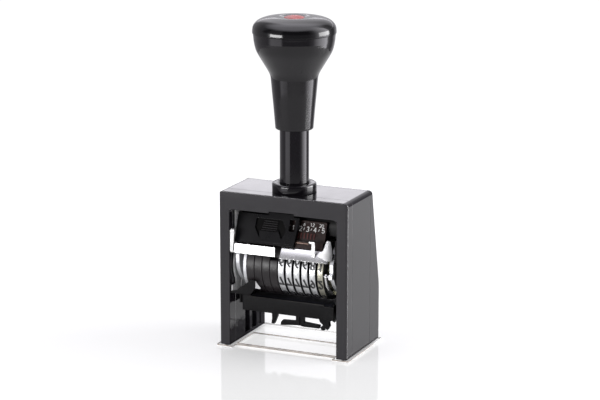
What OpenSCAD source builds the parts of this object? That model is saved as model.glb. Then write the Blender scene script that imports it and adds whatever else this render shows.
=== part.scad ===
// Desk numbering machine: press the knob and the number wheels print on paper.
// Frame: X to the right, Y to the back, Z up. The origin is on the plunger's
// axis, in the plane that the base plate rests on. Millimetres.

/* [Housing] */
// Width of the housing
body_w = 67; // [64:1:70]
// Height of the housing's top above the paper
body_top = 77.6; // [76:0.2:80]
// Distance from the plunger axis to the front face
front_d = 14; // [14:0.5:16]
// Depth of the front frame
bezel_d = 6.5; // [6:0.5:7]
// Distance from the plunger axis to the shell's rear edge
shell_back = 14.5; // [14.5:0.5:16]
// Distance from the plunger axis to the rear of the base
rear_d = 26; // [26:0.5:28]
// Height of the knee of the sloped back
knee_z = 29; // [27:1:32]
// Wall thickness of the top
wall = 5; // [5:0.1:5.2]
// Wall thickness of the sides
side_wall = 5.5; // [5.3:0.1:5.5]
// Height of the window's upper edge
window_top = 69; // [69:0.2:70]

/* [Base plate] */
// Thickness of the clear base plate
base_t = 1; // [0.8:0.1:1]
// How far the base plate stands out around the housing
base_over = 1.3; // [0.8:0.1:2]

/* [Plunger] */
// Diameter of the plunger shaft
shaft_d = 14; // [13:0.1:14]
// Diameter of the guide collar
collar_d = 21.4; // [19:0.2:24]
// Height of the guide collar
collar_h = 4.5; // [4:0.1:4.6]
// How far the plunger travels down
stroke = 25.4; // [25:0.1:25.4]

/* [Knob] */
// Height of the knob's lower edge
knob_z = 108.2; // [108:0.2:112]
// Diameter of the knob's stem at its lower edge
stem_d = 18.4; // [17:0.2:20]
// Diameter of the domed cap
cap_d = 40; // [36:0.2:44]
// Diameter of the coloured inlay
inlay_d = 9.6; // [8:0.2:12]

/* [Number wheels] */
// Radius over the raised digits
wheel_r = 15.2; // [15:0.1:15.2]
// Distance from one wheel to the next
wheel_pitch = 4.09; // [4.05:0.01:4.1]
// Width of a wheel's rim
wheel_w = 3.15; // [3:0.05:3.2]
// Distance of the wheel axle behind the plunger axis
axle_y = 2; // [1.8:0.1:2]
// Height of the wheel axle at rest
axle_z = 40.7; // [40.7:0.1:41]
// Diameter of the wheel axle
axle_d = 4; // [3.6:0.1:4]

/* [Selector] */
// Width of the repeat selector's slide
slider_w = 30.9; // [28:0.1:31]
// Height of the slide along its slope
slider_h = 14.2; // [13:0.1:14.2]
// Slope of the selector from upright, degrees
slope = 20.6; // [20:0.2:21]

/* [Ink pad] */
// Length of the ink pad's holder
holder_l = 48.1; // [47:0.1:48.1]
// Width of the ink pad's holder, front to back
holder_w = 19.6; // [18:0.1:19.6]

/* [Hidden] */
$fn = 64;
e = 0.01;
hw = body_w/2;
iw = hw - side_wall;
fy = -front_d;
seam_y = fy + bezel_d;
wheel_x0 = -3.05;
pin_r = 10;

// ---- helpers -------------------------------------------------------------
// A profile drawn as (y, z) is extruded along X from x0 to x1
module yz(x0, x1) { translate([x0, 0, 0]) rotate([90, 0, 90]) linear_extrude(x1 - x0) children(); }
// A profile drawn as (x, z) is extruded along Y from y0 to y1
module xz(y0, y1) { translate([0, y1, 0]) rotate([90, 0, 0]) linear_extrude(y1 - y0) children(); }
module box3(a, b) { translate(a) cube([b[0]-a[0], b[1]-a[1], b[2]-a[2]]); }
// Upright rectangle with round upper corners
module arch(x0, x1, z0, z1, r) {
  translate([x0, z0]) square([x1-x0, z1-z0-r]);
  translate([x0+r, z0]) square([x1-x0-2*r, z1-z0]);
  for (x = [x0+r, x1-r]) translate([x, z1-r]) circle(r);
}
// Rectangle with four round corners
module rrect(x0, x1, z0, z1, r) {
  translate([x0, z0+r]) square([x1-x0, z1-z0-2*r]);
  translate([x0+r, z0]) square([x1-x0-2*r, z1-z0]);
  for (x = [x0+r, x1-r], z = [z0+r, z1-r]) translate([x, z]) circle(r);
}
// Housing plan with round front corners
module plan(x, y0, y1, r) {
  translate([-x, y0+r]) square([2*x, y1-y0-r]);
  translate([-x+r, y0]) square([2*x-2*r, y1-y0]);
  for (s = [-1, 1]) translate([s*(x-r), y0+r]) circle(r);
}
// Parts that lie along X on the wheel axle
module on_axle(x0, x1) { translate([x0, axle_y, axle_z]) rotate([0, 90, 0]) linear_extrude(x1 - x0) children(); }
module disc(x0, x1, r, bore) { on_axle(x0, x1) difference() { circle(r); circle(bore); } }
// Parts of the sloping selector: local x right, y back, z up the slope
module sloped() { translate([0, -8.5, 59.4]) rotate([-slope, 0, 0]) children(); }

// Path of the ink arm's cam pin while the carriage sinks: angle a is the
// swing, the pin starts 60 degrees behind straight down at radius pin_r
function pin_at(a, d) = let (q = 60 + a)
  [axle_y + pin_r*sin(q), axle_z - stroke*a/90 - pin_r*cos(q)];
function path_dir(a) = let (p = pin_at(a-0.5, 0), q = pin_at(a+0.5, 0), l = norm(q-p)) (q-p)/l;
function side_pt(a, w) = let (t = path_dir(a)) pin_at(a, 0) + w*[-t[1], t[0]];
module cam_path(w) {
  polygon(concat([for (a = [-3:3:93]) side_pt(a, w)], [for (a = [93:-3:-3]) side_pt(a, -w)]));
  for (a = [0, 90]) translate(pin_at(a, 0)) circle(w);
}

// ---- housing ---------------------------------------------------------------
module base_plate() { color([0.93, 0.95, 0.96, 0.4]) difference() {
  linear_extrude(base_t) difference() {
    rrect(-hw-base_over, hw+base_over, fy-base_over+0.1, rear_d+base_over, 1);
    translate([-iw+1.7, fy-5]) square([2*iw-3.4, 7.7]);
    translate([-iw+1.5, -9.3]) square([2*iw-3, 19.3]);
  }
  for (x = [-hw+2.6, hw-2.6], y = [fy+3, 21]) translate([x, y, -e]) cylinder(d1 = 2.9, d2 = 1.5, h = 0.71);
  for (x = [-hw+2.6, hw-2.6], y = [fy+3, 21]) translate([x, y, -e]) cylinder(d = 1.5, h = base_t + 1);
} }
module base_screws() { color("silver") for (x = [-hw+2.6, hw-2.6], y = [fy+3, 21]) translate([x, y, 0]) {
  difference() {
    union() { translate([0, 0, 0.05]) cylinder(d1 = 2.7, d2 = 1.4, h = 0.65); translate([0, 0, 0.3]) cylinder(d = 1.4, h = 4.6); }
    translate([-0.8, -0.15, -e]) cube([1.6, 0.3, 0.3]);
  }
} }
module screw_holes(list) { for (x = [-hw+2.6, hw-2.6], y = list) translate([x, y, 0]) cylinder(d = 1.44, h = 5.2); }

module front_frame() { color([0.09, 0.09, 0.1]) difference() {
  union() {
    intersection() {
      xz(fy, seam_y-0.25) arch(-hw, hw, base_t, body_top, 2);
      translate([0, 0, base_t]) linear_extrude(body_top) plan(hw, fy, seam_y, 1.3);
    }
    xz(seam_y-0.3, seam_y) arch(-hw+0.7, hw-0.7, base_t, body_top, 1.3);
  }
  xz(fy-1, seam_y+1) arch(-iw, iw, 0, window_top, 2.2);
  xz(fy-1, fy+3) rrect(-7.2, 6, window_top-2, window_top+0.9, 0.4);
  // seat of the guide collar
  translate([0, 0, body_top-wall-1]) cylinder(r = 9.03, h = wall+2);
  screw_holes([fy+3]);
} }
module housing_shell() { color([0.12, 0.12, 0.13]) difference() {
  union() {
    xz(seam_y, shell_back-0.25) arch(-hw, hw, base_t, body_top, 2);
    xz(shell_back-0.3, shell_back) arch(-hw+0.7, hw-0.7, base_t, body_top, 1.3);
  }
  xz(seam_y-1, shell_back+1) arch(-iw, iw, 0, body_top-wall, 1);
  translate([0, 0, body_top-wall-1]) cylinder(r = 9.03, h = wall+2);
  for (s = [-1, 1]) translate([s*18, 12, body_top-wall-1]) cylinder(d = 1.04, h = 2.8);
  // cam grooves that swing the ink pad, one in each wall
  yz(-iw-2, -iw+e) cam_path(1.4);
  yz(iw-e, iw+2) cam_path(1.4);
  // guide channels
  for (s = [-1, 1]) {
    box3([s*(iw+1.2)-1.2-e, 3, 2.6], [s*(iw+1.2)+1.2+e, 8.4, 19.6]);
    box3([s*(iw+1.2)-1.2-e, 10.9, 2.6], [s*(iw+1.2)+1.2+e, shell_back+1, 20.4]);
  }
} }
module wedge_outline(g) {
  difference() {
    union() {
      polygon([[shell_back, base_t], [rear_d-g, base_t], [rear_d-g, knee_z-2], [rear_d-0.35-g, knee_z+1.6], [shell_back+2.1-g, body_top-0.6], [shell_back+1.5-g, body_top-g], [shell_back, body_top-g]]);
    }
  }
}
module rear_cover() { color([0.12, 0.12, 0.13]) {
  difference() {
    union() {
      difference() {
        intersection() {
          yz(-hw, hw) wedge_outline(0);
          xz(shell_back-1, rear_d+1) arch(-hw, hw, base_t, body_top, 2);
        }
        box3([-iw, shell_back-1, 0], [iw, rear_d+1, 46]);
        // hollow behind the sloped panel
        difference() {
          box3([-iw, shell_back-1, 40], [iw, rear_d+1, 76]);
          yz(-iw-1, iw+1) polygon([[rear_d, 30], [rear_d, 90], [shell_back-3, 90], [shell_back-1.9, body_top-1.6], [rear_d-2.3, knee_z+1.6]]);
        }
      }
    }
    for (s = [-1, 1]) {
      box3([s*(iw+1.2)-1.2-e, shell_back-1, 2.6], [s*(iw+1.2)+1.2+e, 16.3, 20.4]);
      box3([s*(iw+0.5)-0.5-e, 19.7, 2.6], [s*(iw+0.5)+0.5+e, 21.2, 22]);
    }
    screw_holes([21]);
  }
} }
module guide_collar() { color([0.07, 0.07, 0.075]) rotate_extrude($fn = 96) difference() {
  union() {
    translate([0, body_top-wall-0.4]) square([9, wall+0.5]);
    translate([0, body_top]) square([collar_d/2-0.9, collar_h]);
    translate([0, body_top+0.5]) square([collar_d/2, collar_h-1.4]);
    translate([collar_d/2-0.9, body_top+collar_h-0.9]) circle(0.9);
    translate([collar_d/2-0.5, body_top+0.5]) circle(0.5);
  }
  translate([-1, 0]) square([1 + shaft_d/2+0.05, 200]);
} }
module spring_hooks() { color("silver") for (s = [-1, 1]) translate([s*18, 12, 0]) {
  translate([0, 0, 71.2]) cylinder(d = 1, h = 3.1);
  translate([-1.6, 0, 71.4]) rotate([0, 90, 0]) cylinder(d = 1, h = 3.2);
} }

// ---- plunger and knob ------------------------------------------------------
module plunger_shaft() { color([0.08, 0.08, 0.085]) difference() {
  union() {
    // spigot in the carriage, shaft, and stem in the knob
    translate([0, 0, 68.3]) cylinder(d = 11, h = 4);
    translate([0, 0, 71.6]) cylinder(d = shaft_d, h = 52.4);
    translate([0, 0, 124]) cylinder(d = 9, h = 24);
  }
  translate([0, 0, 69.95]) rotate([90, 0, 0]) cylinder(d = 1.84, h = 30, center = true);
} }
module knob_grip() { color([0.07, 0.07, 0.075]) rotate_extrude($fn = 96) difference() {
  polygon([[0, knob_z+0.7], [0, knob_z], [stem_d/2-0.7, knob_z], [stem_d/2-0.15, knob_z+0.3], [stem_d/2, knob_z+0.9],
    [11.35, 133.4], [12.75, 136.3], [15.05, 140.2], [17.3, 144], [18.4, 146.5], [19.1, 148.7], [19.4, 150.6], [19.55, 152.5], [19.7, 153.7], [19.7, 154.05], [0, 154.05]]);
  translate([-1, 0]) square([1+4.5, 148.1]);
  translate([-1, 0]) square([1+shaft_d/2, 124]);
  translate([-1, 151.1]) square([1+15, 10]);
} }
function dome(i) = let (t = i/14*90) [cap_d/2*pow(sin(t), 0.84), 155.3 + 6.9*pow(cos(t), 0.84)];
module knob_cap() { color([0.06, 0.06, 0.065]) rotate_extrude($fn = 96) difference() {
  union() {
    polygon(concat([[0, 154.1], [19.6, 154.1], [19.95, 154.3]], [for (i = [14:-1:0]) dome(i)]));
    translate([0, 151.3]) square([14.9, 3]);
  }
  translate([-1, 161.75]) square([1+inlay_d/2+0.7, 5]);
  translate([-1, 161]) square([1+inlay_d/2+0.05, 5]);
} }
module cap_inlay() { color([0.8, 0.16, 0.16]) rotate_extrude($fn = 64) polygon([[0, 161.05], [inlay_d/2, 161.05], [inlay_d/2, 161.5], [inlay_d/2-0.25, 161.75], [2.6, 162.25], [0, 162.45]]); }
module shaft_pin() { color("silver") translate([0, 0, 69.95]) rotate([90, 0, 0]) cylinder(d = 1.8, h = 13, center = true); }

// ---- carriage --------------------------------------------------------------
module carriage_bridge() { color([0.08, 0.08, 0.085]) difference() {
  union() {
    box3([-26.9, -2.6, 58], [26.9, 9.6, 68.3]);
    box3([-26.9, -7.2, 68.2], [26.9, 9.6, 71.6]);
    for (s = [-1, 1]) box3([s*18-3, 9.5, 57.4], [s*18+3, 14, 58.5]);
    // rear web behind the wheels
    box3([-26.9, 8, 56.6], [26.9, 9.6, 58.2]);
  }
  translate([0, 0, 68.3]) cylinder(d = 11.04, h = 5);
  translate([0, 0, 69.95]) rotate([90, 0, 0]) cylinder(d = 1.84, h = 40, center = true);
  for (s = [-1, 1]) translate([s*18, 12, 50]) cylinder(d = 2, h = 20);
  sloped() translate([-40, 1.2, -20]) cube([80, 3.3, 28.6]);
} }
module arc_slot(r, w) { polygon(concat(
  [for (a = [50:5:165]) [axle_y+(r+w)*sin(a), axle_z-(r+w)*cos(a)]],
  [for (a = [165:-5:50]) [axle_y+(r-w)*sin(a), axle_z-(r-w)*cos(a)]])); }
module side_plate(x0) { color([0.6, 0.61, 0.62]) difference() {
  yz(x0, x0+0.8) difference() {
    union() {
      translate([-8.6, 27.3]) square([10.6, 40]);
      translate([-8.6, 38]) square([20.4, 29.3]);
      // ears that carry the bar and the bracket
      translate([-13.4, 48.2]) square([6, 10.6]);
      translate([-12.8, 27.3]) square([6, 3.6]);
      translate([-7.1, 60]) square([18.9, 9]);
      translate([axle_y, axle_z]) circle(12.8);
    }
    arc_slot(pin_r, 1.35);
    translate([axle_y, axle_z]) circle(axle_d/2+0.01);
  }
} }
module side_plate_left() side_plate(-27.7);
module side_plate_right() side_plate(26.9);
module end_cheek(x0, lug) { color([0.82, 0.83, 0.85]) yz(x0, x0+1.9) difference() {
  union() {
    intersection() {
      translate([4.5, 46]) circle(17, $fn = 96);
      translate([-12.1, 28]) square([21.1, 29.8]);
      translate([axle_y, axle_z]) circle(15.2, $fn = 96);
    }
    if (lug > 0) translate([-13.3, 39.4]) square([4, 2.4]);
  }
  if (lug > 0) translate([-12.2, 40.6]) circle(0.61, $fn = 32);
  translate([axle_y, axle_z]) circle(axle_d/2+0.01);
} }
module end_cheek_left() end_cheek(-25.5, 0);
module end_cheek_right() end_cheek(23.6, 1);
module flange_ring() { color([0.85, 0.86, 0.88]) disc(-21.3, -19.6, 15, axle_d/2+0.01); }
module blank_ring(i) { color([0.2, 0.19, 0.2]) difference() {
  disc(-19.35+(i-1)*4.06, -19.35+(i-1)*4.06+3.86, 15.1, axle_d/2+0.01);
  if (i == 4) box3([-7.4, -16, 45.6], [-3.2, -8, 51]);
} }
module blank_ring_1() blank_ring(1);
module blank_ring_2() blank_ring(2);
module blank_ring_3() blank_ring(3);
module blank_ring_4() blank_ring(4);
module wheel_axle() { color("silver") on_axle(-27.7, 27.7) circle(axle_d/2); }
module front_bar() { color([0.9, 0.9, 0.92]) difference() {
  yz(-26.9, -4.4) polygon([[-12.95, 52.1], [-12.35, 52.1], [-12.6, 47.9], [-13.3, 47.6]]);
  yz(-5.4, -5.0) polygon([[-13.3, 53], [-12.7, 53], [-12.9, 47], [-13.5, 47]]);
} }
module wheel_shield() { color([0.9, 0.9, 0.92]) union() {
  on_axle(-2, 22.9) polygon(concat([for (a = [23:2.5:43]) 16.4*[-sin(a), -cos(a)]], [for (a = [43:-2.5:23]) 15.65*[-sin(a), -cos(a)]]));
  on_axle(22.5, 26.9) polygon(concat([for (a = [36:2.5:41]) 16.4*[-sin(a), -cos(a)]], [for (a = [41:-2.5:36]) 15.65*[-sin(a), -cos(a)]]));
  // upright lug at the right end
  xz(-12.5, -11.2) polygon([[17.6, 50], [20.7, 53.4], [22.3, 58.2], [24.3, 58.1], [25.1, 54], [25.2, 49.2], [24, 48.2], [22, 48.2]]);
} }
module bar_link() { color([0.88, 0.89, 0.9]) xz(-13.9, -13.4) union() {
  polygon([[-27.7, 48.6], [-26.2, 48.6], [-25.4, 58.6], [-27, 59.3], [-27.7, 58.3]]);
  translate([-26.75, 48.6]) circle(0.95, $fn = 32);
} }
module corner_bracket() { color([0.07, 0.07, 0.075]) xz(-13.6, -12.8) polygon([[-27.7, 27.2], [-27.7, 28.2], [-24.5, 29], [-19.4, 32.9], [-16.8, 35.1], [-14.6, 34.7], [-14.6, 30.7], [-17.6, 27]]); }
module bracket_clip() { color([0.92, 0.92, 0.93]) xz(-13.4, -13) polygon([[-14.6, 30.9], [-14.6, 34.7], [-13.3, 33], [-11.7, 31.3], [-11.9, 30.9]]); }
module scale_plate() { color([0.14, 0.1, 0.09]) sloped() difference() {
  union() {
    translate([-26.9, 3.1, -3.7]) cube([45.6, 1.4, 10.3]);
    // strip that the slide bears on
    translate([-26.9, 2.6, 5.9]) cube([45.6, 1, 0.7]);
    // apron below the scale
    translate([-26.9, 1.5, -7.1]) cube([45.6, 0.6, 3.6]);
    translate([-26.9, 1.5, -3.9]) cube([45.6, 2.5, 0.4]);
  }
  // seat of the roller
  translate([4, -1, -5.1]) cube([7.1, 6, 1.2]);
} }
module index_comb() { color([0.2, 0.12, 0.1]) sloped() for (i = [0:5]) translate([4.2+i*1.7, 2.8, -2.2]) cube([0.7, 0.3, 2.9]); }
module index_roller() { color([0.42, 0.33, 0.28]) sloped() translate([4, 2.1, -4.5]) rotate([0, 90, 0]) cylinder(d = 1, h = 7.1, $fn = 32); }
module hook_tab() { color([0.9, 0.9, 0.92]) xz(-12.4, -11.9) polygon([[13.0, 55.8], [13.0, 56.8], [16.1, 56.8], [16.1, 49.3], [14.4, 49.3], [14.4, 55.8]]); }

// Coil of a return spring as a swept tube, hung between hook and lug
sp_n = 8;
sp_r = 1.75;
sp_w = 0.3;
sp_k = 10;
function coil(t) = let (a = 360*sp_n*t) [sp_r*cos(a), sp_r*sin(a), 58.9 + 11.6*t];
module return_spring(x) { color([0.7, 0.7, 0.72]) translate([x, 12, 0]) {
  n = sp_n*sp_k;
  pts = [for (i = [0:n]) let (a = 360*sp_n*i/n, c = coil(i/n)) for (j = [0:5]) c + sp_w*[cos(a)*cos(60*j), sin(a)*cos(60*j), sin(60*j)]];
  faces = concat([[for (j = [5:-1:0]) j]], [[for (j = [0:5]) n*6+j]],
    [for (i = [0:n-1], j = [0:5]) [i*6+j, i*6+(j+1)%6, (i+1)*6+(j+1)%6, (i+1)*6+j]]);
  polyhedron(pts, faces);
} }
module return_spring_left() return_spring(-18);
module return_spring_right() return_spring(18);

// ---- number wheels -----------------------------------------------------------
module number_wheel(i) { color([0.75, 0.75, 0.76]) {
  x = wheel_x0 + (i-1)*wheel_pitch;
  on_axle(x, x+wheel_w) difference() { circle(wheel_r-0.45, $fn = 120); circle(axle_d/2+0.05); }
  // ten raised digit pads
  for (k = [0:9]) translate([0, axle_y, axle_z]) rotate([36*k, 0, 0]) box3([x+0.45, -2.15, -wheel_r+0.02], [x+wheel_w-0.45, 2.15, -wheel_r+1.6]);
  // index ring with ten teeth
  on_axle(x+wheel_w, x+wheel_w+0.6) difference() { union() { circle(10); for (k = [0:9]) rotate(36*k) translate([9.2, 0]) rotate(45) square(2.1, center = true); } circle(axle_d/2+0.05); }
} }
module number_wheel_1() number_wheel(1);
module number_wheel_2() number_wheel(2);
module number_wheel_3() number_wheel(3);
module number_wheel_4() number_wheel(4);
module number_wheel_5() number_wheel(5);
module number_wheel_6() number_wheel(6);
module ratchet_wheel() { color([0.3, 0.29, 0.22]) on_axle(21.3, 23.1) difference() {
  union() { circle(10.6); for (k = [0:9]) rotate(36*k+12) polygon([[10, -0.6], [12.3, 0.4], [10, 3.4]]); }
  circle(axle_d/2+0.05);
} }
module drive_pawl() { color([0.86, 0.86, 0.84]) yz(21.7, 22.6) difference() {
  union() {
    polygon(concat([for (a = [0:20:180]) [-12.2+1.5*cos(a), 40.6+1.5*sin(a)]], [[-13.4, 39], [-12, 35.8], [-8.5, 31.6], [-7.7, 32.6], [-10.4, 37], [-10.8, 39.6]]));
  }
  translate([-12.2, 40.6]) circle(0.63, $fn = 32);
} }
module pawl_pin() { color("silver") translate([21.1, -12.2, 40.6]) rotate([0, 90, 0]) cylinder(d = 1.2, h = 4.4, $fn = 32); }

// ---- selector ------------------------------------------------------------------
module selector_slider() { color([0.1, 0.1, 0.11]) sloped() difference() {
  union() {
    xz(0, 2.3) polygon([[-26.6, -3.2], [4.65, -3.2], [5.6, 7.1], [-26.6, 7.1]]);
    xz(0, 1.2) polygon([[-26.6, -7.1], [4.3, -7.1], [4.7, -3.1], [-26.6, -3.1]]);
    translate([-10.8, 0, slider_h/2-e]) cube([13.3, 2.3, 1.3]);
  }
  // finger grip: two pits either side of a ribbed bridge
  xz(-1, 0.8) pit_left();
  xz(-1, 0.8) pit_right();
  xz(-1, 1.6) intersection() { pit_left(); translate([-20, -2.9]) square([22, 12]); }
  xz(-1, 1.6) intersection() { pit_right(); translate([-20, -2.9]) square([22, 12]); }
  xz(-1, 0.7) polygon([[-15.5, -0.7], [-5.1, -0.7], [-4.8, 5.3], [-15.4, 5.3]]);
  xz(-1, 3) rrect(0.7, 3.7, 0.3, 5.9, 0.3);
} }
module pit_left() { polygon([[-16.8, 5.1], [-15.2, 5.2], [-14.4, -1], [-14.1, -4.4], [-16.9, 0.3]]); }
module pit_right() { polygon([[-5, 5.4], [-3, 4.9], [-1.1, 1.6], [-1, -0.3], [-2.6, -4.1], [-5.3, 1]]); }

// ---- ink pad -----------------------------------------------------------------
module pad_holder() { color([0.08, 0.08, 0.09]) difference() {
  union() {
    box3([-22.9, -10.6, 18.6], [25.2, 9, 26.1]);
    // feet that join the swing arms
    box3([-25.8, -6, 20.6], [-22.8, 6.6, 25]);
    box3([25.1, -6, 20.6], [25.8, 6.6, 25]);
  }
  box3([-21.6, -9.4, 20], [24, 7.8, 30]);
  // the front edge is lower at the right
  box3([20.2, -12, 25.3], [30, -9.4, 30]);
} }
module ink_pad() { color([0.1, 0.1, 0.14]) box3([-21.5, -9.3, 20], [23.9, 7.7, 25.2]); }
module pad_arm(x0) { color([0.08, 0.08, 0.085]) yz(x0, x0+0.8) difference() {
  union() {
    polygon(concat([for (a = [50:10:190]) [axle_y+4.4*cos(a), axle_z+4.4*sin(a)]], [[-6, 25], [-6, 20.6], [6.6, 20.6], [6.6, 25], [6.2, 31.6], [12.9, 33.4], [12.9, 38]]));
  }
  translate([axle_y, axle_z]) circle(axle_d/2+0.05);
  translate(pin_at(0, 0)) circle(0.995, $fn = 32);
} }
module pad_arm_left() pad_arm(-26.6);
module pad_arm_right() pad_arm(25.8);
module cam_pin_left() { color("silver") translate([-29.7, pin_at(0,0)[0], pin_at(0,0)[1]]) rotate([0, 90, 0]) cylinder(d = 1.98, h = 3.9, $fn = 32); }
module cam_pin_right() { color("silver") translate([25.8, pin_at(0,0)[0], pin_at(0,0)[1]]) rotate([0, 90, 0]) cylinder(d = 1.98, h = 3.9, $fn = 32); }
module pad_pull_tab() { color([0.07, 0.07, 0.075]) difference() {
  xz(-7, -5) union() {
    polygon([[3.8, 18.6], [8.1, 18.6], [8.1, 14.9], [16.3, 14.3], [16.3, 12.7], [8.2, 12.6], [4.6, 13.0], [-4.2, 12.1], [-4.2, 13.4], [-3.4, 14.7], [3.8, 15]]);
  }
  box3([5.8, -8, 12], [6.3, -6.5, 17.6]);
} }
module pad_latch_left() { color([0.07, 0.07, 0.075]) xz(-7, -5) polygon([[-8.9, 18.6], [-5.7, 18.6], [-6, 16.1], [-7.6, 12.2], [-9.2, 12.4], [-8.8, 14.7]]); }
module pad_latch_right() { color([0.07, 0.07, 0.075]) xz(-7, -5) polygon([[15.6, 18.6], [24.4, 18.6], [24.8, 18.2], [24, 16.6], [22.8, 17.4], [21.2, 16.6], [21.6, 14.4], [20.3, 12.2], [19.3, 13.4], [18.8, 12], [17.3, 12], [16.7, 13.2], [18, 14.8], [16.4, 16]]); }

base_plate();
base_screws();
front_frame();
housing_shell();
rear_cover();
guide_collar();
spring_hooks();
plunger_shaft();
knob_grip();
knob_cap();
cap_inlay();
shaft_pin();
carriage_bridge();
side_plate_left();
side_plate_right();
end_cheek_left();
end_cheek_right();
flange_ring();
blank_ring_1();
blank_ring_2();
blank_ring_3();
blank_ring_4();
wheel_axle();
front_bar();
wheel_shield();
bar_link();
corner_bracket();
bracket_clip();
scale_plate();
index_comb();
index_roller();
hook_tab();
return_spring_left();
return_spring_right();
number_wheel_1();
number_wheel_2();
number_wheel_3();
number_wheel_4();
number_wheel_5();
number_wheel_6();
ratchet_wheel();
drive_pawl();
pawl_pin();
selector_slider();
pad_holder();
ink_pad();
pad_arm_left();
pad_arm_right();
cam_pin_left();
cam_pin_right();
pad_pull_tab();
pad_latch_left();
pad_latch_right();
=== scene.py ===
import bpy
import bmesh
import math
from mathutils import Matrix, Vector, noise


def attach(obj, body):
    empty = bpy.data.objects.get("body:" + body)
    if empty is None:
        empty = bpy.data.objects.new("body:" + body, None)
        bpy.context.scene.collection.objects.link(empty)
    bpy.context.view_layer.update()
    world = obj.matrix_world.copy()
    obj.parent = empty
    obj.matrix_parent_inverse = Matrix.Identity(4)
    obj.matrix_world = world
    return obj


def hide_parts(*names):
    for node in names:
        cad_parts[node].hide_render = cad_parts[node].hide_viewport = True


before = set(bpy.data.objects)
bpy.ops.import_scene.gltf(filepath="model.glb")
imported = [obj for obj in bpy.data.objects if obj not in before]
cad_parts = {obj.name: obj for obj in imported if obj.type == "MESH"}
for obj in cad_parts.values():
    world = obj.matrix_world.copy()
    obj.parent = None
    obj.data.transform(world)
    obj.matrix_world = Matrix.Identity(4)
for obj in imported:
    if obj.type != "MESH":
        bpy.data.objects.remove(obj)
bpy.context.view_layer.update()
MM = 0.001
PI = math.pi

# ------------------------------------------------------------------ materials


def link(t, a, ao, b, bi):
    t.links.new(a.outputs[ao], b.inputs[bi])


def surface(name, base, rough, metal=0.0, grain=900.0, vary=0.16, bump=0.00002, bump_scale=1400.0,
            strength=0.25, stretch=(1, 1, 1), smudge=70.0, smudge_amount=0.3, wave=0.0, coat=0.0, ior=1.5, fleck=None, spec=0.5,
            edge=0.2):
    """Principled surface whose colour, roughness and bump all come from noise."""
    m = bpy.data.materials.new(name)
    m.use_nodes = True
    t = m.node_tree
    p = t.nodes["Principled BSDF"]
    p.inputs["Metallic"].default_value = metal
    p.inputs["IOR"].default_value = ior
    p.inputs["Specular IOR Level"].default_value = spec
    p.inputs["Coat Weight"].default_value = coat
    p.inputs["Coat Roughness"].default_value = 0.08
    tc = t.nodes.new("ShaderNodeTexCoord")
    mp = t.nodes.new("ShaderNodeMapping")
    mp.inputs["Scale"].default_value = stretch
    link(t, tc, "Object", mp, "Vector")
    n1 = t.nodes.new("ShaderNodeTexNoise")
    n1.inputs["Scale"].default_value = grain
    n1.inputs["Detail"].default_value = 4.0
    link(t, mp, "Vector", n1, "Vector")
    cr = t.nodes.new("ShaderNodeValToRGB")
    cr.color_ramp.elements[0].position = 0.3
    cr.color_ramp.elements[1].position = 0.7
    cr.color_ramp.elements[0].color = tuple(c * (1 - vary) for c in base) + (1,)
    cr.color_ramp.elements[1].color = tuple(min(1.0, c * (1 + vary)) for c in base) + (1,)
    link(t, n1, "Fac", cr, "Fac")
    if fleck:
        v = t.nodes.new("ShaderNodeTexNoise")
        v.inputs["Scale"].default_value = fleck[1]
        v.inputs["Detail"].default_value = 6.0
        link(t, tc, "Object", v, "Vector")
        r = t.nodes.new("ShaderNodeMapRange")
        r.inputs["From Min"].default_value = fleck[2]
        r.inputs["From Max"].default_value = fleck[2] + 0.12
        link(t, v, "Fac", r, "Value")
        mx = t.nodes.new("ShaderNodeMix")
        mx.data_type = "RGBA"
        mx.inputs["B"].default_value = tuple(fleck[0]) + (1,)
        link(t, r, "Result", mx, "Factor")
        t.links.new(cr.outputs["Color"], mx.inputs["A"])
        t.links.new(mx.outputs["Result"], p.inputs["Base Color"])
    else:
        link(t, cr, "Color", p, "Base Color")
    n2 = t.nodes.new("ShaderNodeTexNoise")
    n2.inputs["Scale"].default_value = smudge
    n2.inputs["Detail"].default_value = 5.0
    link(t, tc, "Object", n2, "Vector")
    mr = t.nodes.new("ShaderNodeMapRange")
    mr.inputs["From Min"].default_value = 0.3
    mr.inputs["From Max"].default_value = 0.7
    mr.inputs["To Min"].default_value = rough * (1 - smudge_amount)
    mr.inputs["To Max"].default_value = rough * (1 + smudge_amount)
    link(t, n2, "Fac", mr, "Value")
    link(t, mr, "Result", p, "Roughness")
    n3 = t.nodes.new("ShaderNodeTexNoise")
    n3.inputs["Scale"].default_value = bump_scale
    n3.inputs["Detail"].default_value = 3.0
    link(t, mp, "Vector", n3, "Vector")
    b = t.nodes.new("ShaderNodeBump")
    b.inputs["Distance"].default_value = bump
    b.inputs["Strength"].default_value = strength
    link(t, n3, "Fac", b, "Height")
    if edge:
        bv = t.nodes.new("ShaderNodeBevel")
        bv.samples = 6
        bv.inputs["Radius"].default_value = edge * MM
        link(t, bv, "Normal", b, "Normal")
    if wave:
        n4 = t.nodes.new("ShaderNodeTexNoise")
        n4.inputs["Scale"].default_value = 45.0
        link(t, tc, "Object", n4, "Vector")
        b2 = t.nodes.new("ShaderNodeBump")
        b2.inputs["Distance"].default_value = wave
        b2.inputs["Strength"].default_value = 0.5
        link(t, n4, "Fac", b2, "Height")
        if edge:
            link(t, bv, "Normal", b2, "Normal")
        link(t, b2, "Normal", b, "Normal")
    link(t, b, "Normal", p, "Normal")
    return m


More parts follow.
